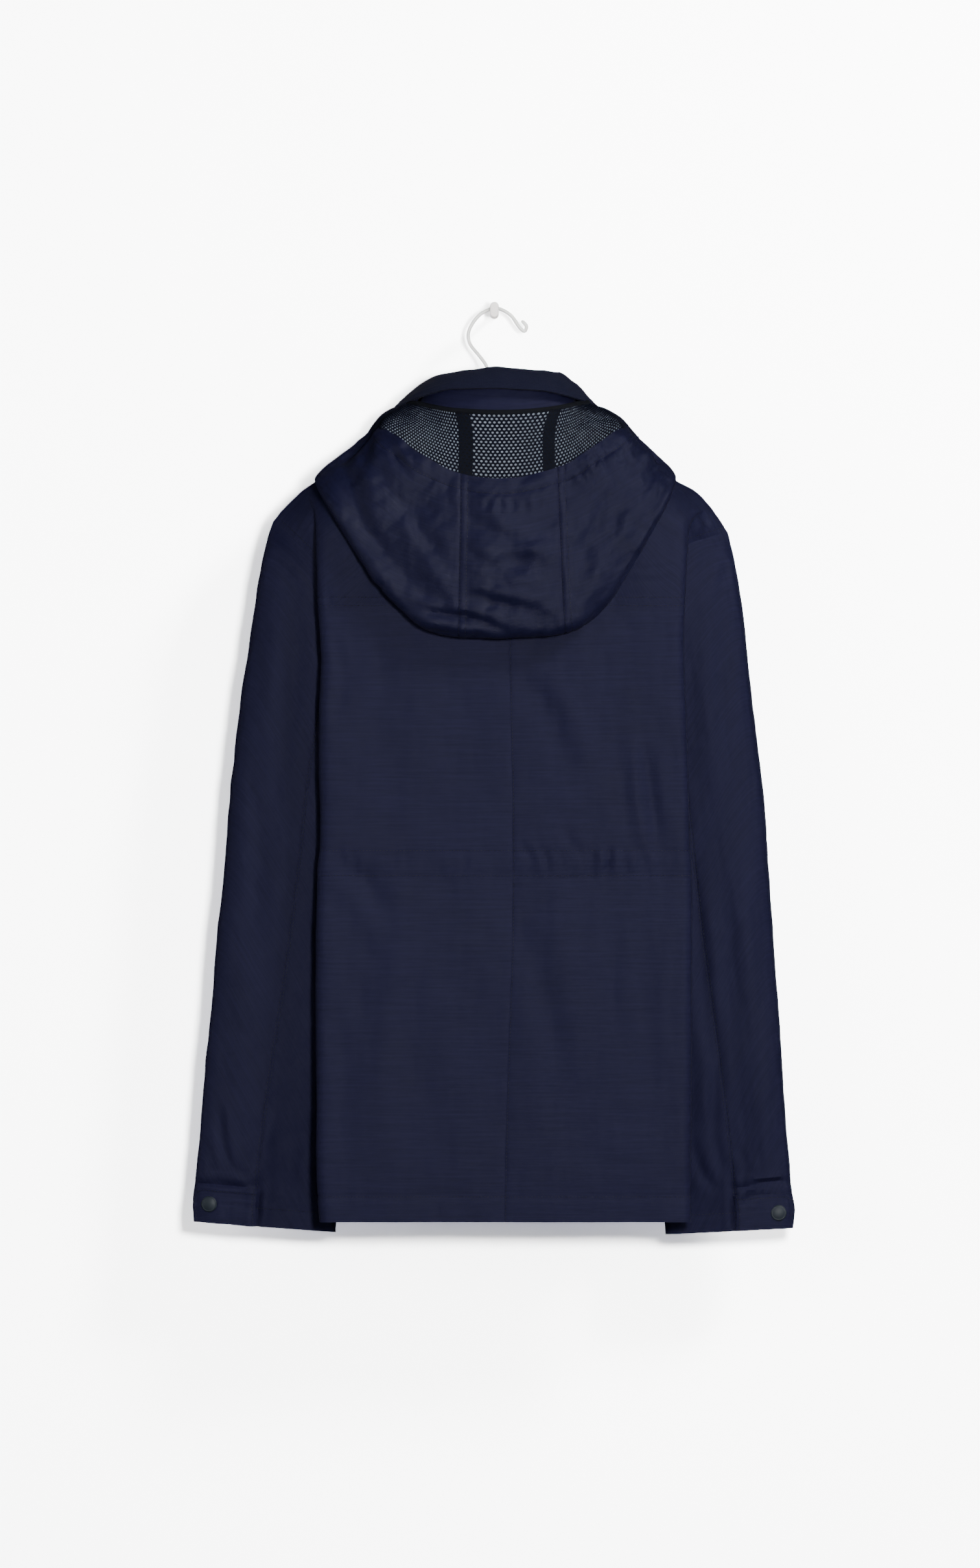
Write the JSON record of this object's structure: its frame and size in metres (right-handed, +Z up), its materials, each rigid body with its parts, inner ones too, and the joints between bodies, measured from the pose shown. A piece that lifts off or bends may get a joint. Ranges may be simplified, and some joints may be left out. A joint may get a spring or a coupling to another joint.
{
  "type": "hooded nylon jacket on a wire hanger with its wall peg",
  "caption": "Hooded nylon jacket with rib-knit collar and snap cuffs, hung from the back on a wire hanger whose hook rests on a small wall peg.",
  "frame": {"origin": "centre of the wall peg's flat back, where it meets the wall", "axes": "+Z up, +X to the right as the jacket's back is seen in the picture, +Y into the wall; the jacket's back faces -Y"},
  "size_m": [0.5572, 0.1397, 0.8647],
  "materials": {
    "shell": "fine plain-weave nylon with a soft low sheen",
    "rib": "matte rib knit",
    "net": "dark knitted net over a pale coated back",
    "snap": "matte lacquered snap cap",
    "zip": "woven zip tape",
    "wire": "off-white coated steel wire",
    "peg": "satin white paint"
  },
  "bodies": {
    "root": {"back_yoke": "shell", "back_left": "shell", "back_right": "shell", "front_left": "shell", "front_right": "shell", "front_zip": "zip", "sleeve_top_left": "shell", "sleeve_under_left": "shell", "sleeve_top_right": "shell", "sleeve_under_right": "shell", "cuff_tab_left": "shell", "cuff_tab_right": "shell", "snap_left": "snap", "snap_right": "snap", "collar_stand": "shell", "collar_rib": "rib", "hood_casing": "shell", "hood_left": "shell", "hood_centre": "shell", "hood_right": "shell", "hood_net": "net", "hanger_hook": "wire", "hanger_frame": "wire", "wall_peg": "peg"}
  },
  "joints": []
}
